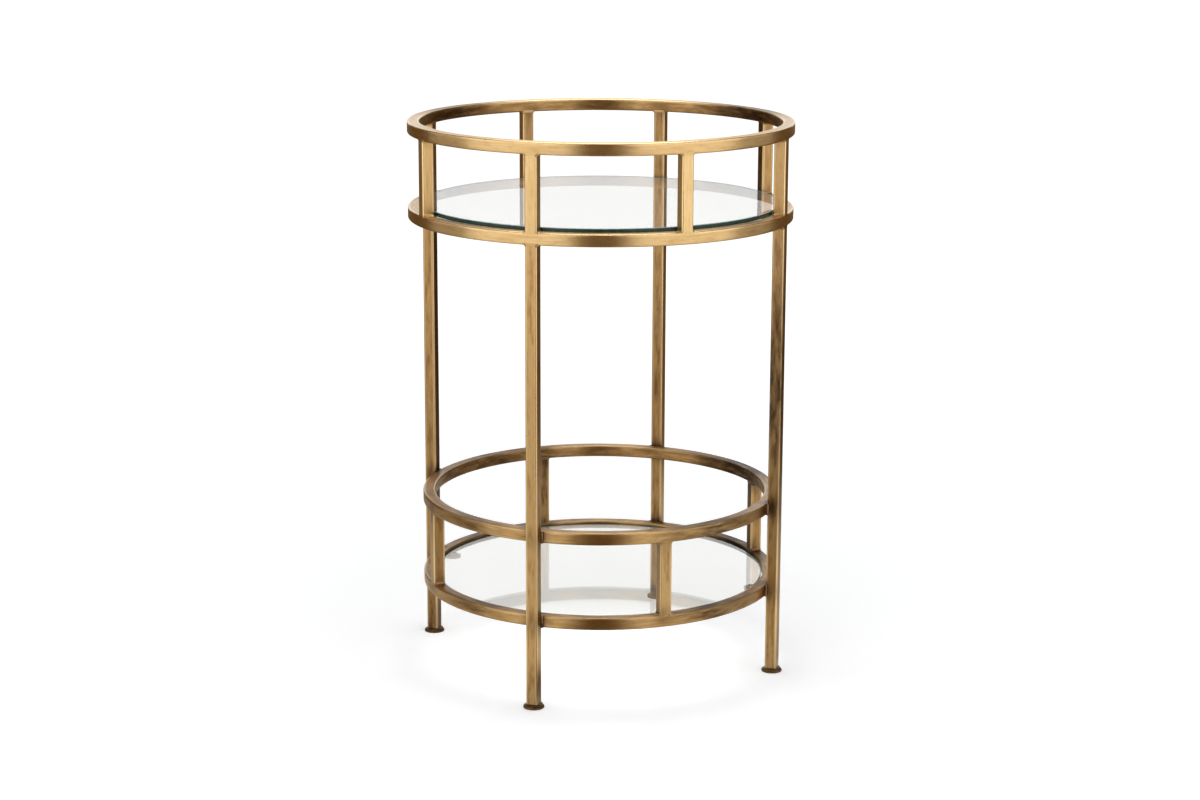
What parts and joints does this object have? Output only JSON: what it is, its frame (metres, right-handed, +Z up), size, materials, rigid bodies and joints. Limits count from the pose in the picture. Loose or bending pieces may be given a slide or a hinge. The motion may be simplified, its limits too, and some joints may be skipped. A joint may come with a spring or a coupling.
{
  "type": "tiered side table",
  "caption": "Round tiered side table: aged-brass square-tube rings, posts and legs carry loose clear glass shelves, each inside a raised gallery rim.",
  "frame": {"origin": "on the floor, under the middle of the table", "axes": "+Z up along the table's axis; the legs stand on the X and Y axes, and -Y is the front"},
  "size_m": [0.416, 0.416, 0.5842],
  "materials": {
    "aged_brass": "brushed, antiqued brass with a brown patina and rubbed bright corners",
    "dark_brass": "brass darkened by heat and patina, slightly lumpy",
    "clear_glass": "clear float glass with ground edges that look dark green",
    "clear_vinyl": "clear soft vinyl"
  },
  "bodies": {
    "frame": {"foot_back": "dark_brass", "foot_front": "dark_brass", "foot_left": "dark_brass", "foot_right": "dark_brass", "gallery_ring": "aged_brass", "gallery_ring_welds": "dark_brass", "leg_back": "aged_brass", "leg_front": "aged_brass", "leg_left": "aged_brass", "leg_right": "aged_brass", "lower_bumpers": "clear_vinyl", "lower_post_back_left": "aged_brass", "lower_post_back_right": "aged_brass", "lower_post_front_left": "aged_brass", "lower_post_front_right": "aged_brass", "lower_shelf_ring": "aged_brass", "lower_shelf_ring_welds": "dark_brass", "lower_tab_back": "aged_brass", "lower_tab_front": "aged_brass", "lower_tab_left": "aged_brass", "lower_tab_right": "aged_brass", "top_ring": "aged_brass", "upper_bumpers": "clear_vinyl", "upper_post_back": "aged_brass", "upper_post_back_left": "aged_brass", "upper_post_back_right": "aged_brass", "upper_post_front": "aged_brass", "upper_post_front_left": "aged_brass", "upper_post_front_right": "aged_brass", "upper_post_left": "aged_brass", "upper_post_right": "aged_brass", "upper_shelf_ring": "aged_brass", "upper_tab_back": "aged_brass", "upper_tab_front": "aged_brass", "upper_tab_left": "aged_brass", "upper_tab_right": "aged_brass"},
    "upper_shelf": {"upper_glass": "clear_glass"},
    "lower_shelf": {"lower_glass": "clear_glass"}
  },
  "joints": [
    {"name": "upper_glass_lift", "type": "slide", "parent": "frame", "child": "upper_shelf", "axis": [0, 0, 1], "range_m": [0, 0.1]},
    {"name": "lower_glass_lift", "type": "slide", "parent": "frame", "child": "lower_shelf", "axis": [0, 0, 1], "range_m": [0, 0.11]}
  ]
}
